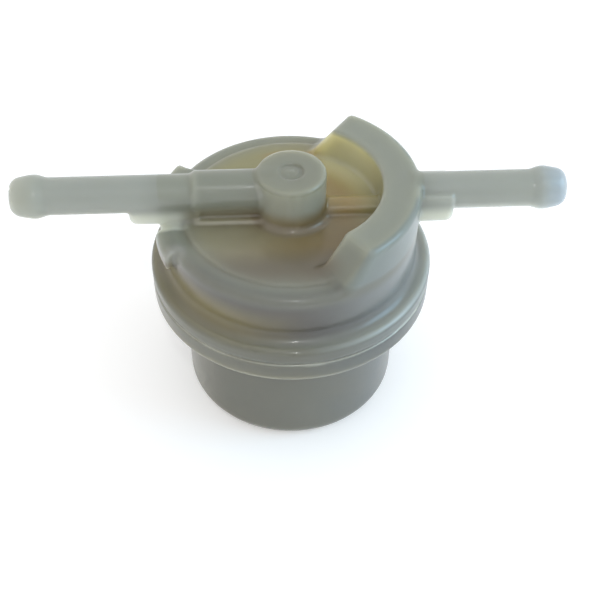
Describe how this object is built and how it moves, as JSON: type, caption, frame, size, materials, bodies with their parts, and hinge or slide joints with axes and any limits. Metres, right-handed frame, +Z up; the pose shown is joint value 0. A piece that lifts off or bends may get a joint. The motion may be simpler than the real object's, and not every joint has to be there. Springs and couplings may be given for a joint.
{
  "type": "in-line fuel filter",
  "caption": "In-line fuel filter with a welded translucent nylon case, two opposed barbed hose spigots and a pleated paper element.",
  "frame": {"origin": "centre of the flat underside of the bowl", "axes": "+X along the inlet spigot, from the case towards its tip; +Z up, from the bowl's underside towards the boss; +Y completes the right-handed frame"},
  "size_m": [0.1174, 0.0624, 0.0605],
  "materials": {
    "case_nylon": "milky translucent moulded nylon with a soft gloss",
    "filter_paper": "resin-treated pleated paper",
    "disc_plastic": "satin moulded plastic",
    "potting": "cured adhesive",
    "seal_rubber": "matt rubber"
  },
  "bodies": {
    "root": {"upper_case": "case_nylon", "bowl": "case_nylon", "outlet_seal": "seal_rubber", "end_disc_upper": "disc_plastic", "potting_upper": "potting", "filter_paper": "filter_paper", "core_tube": "disc_plastic", "potting_lower": "potting", "end_disc_lower": "disc_plastic"}
  },
  "joints": []
}
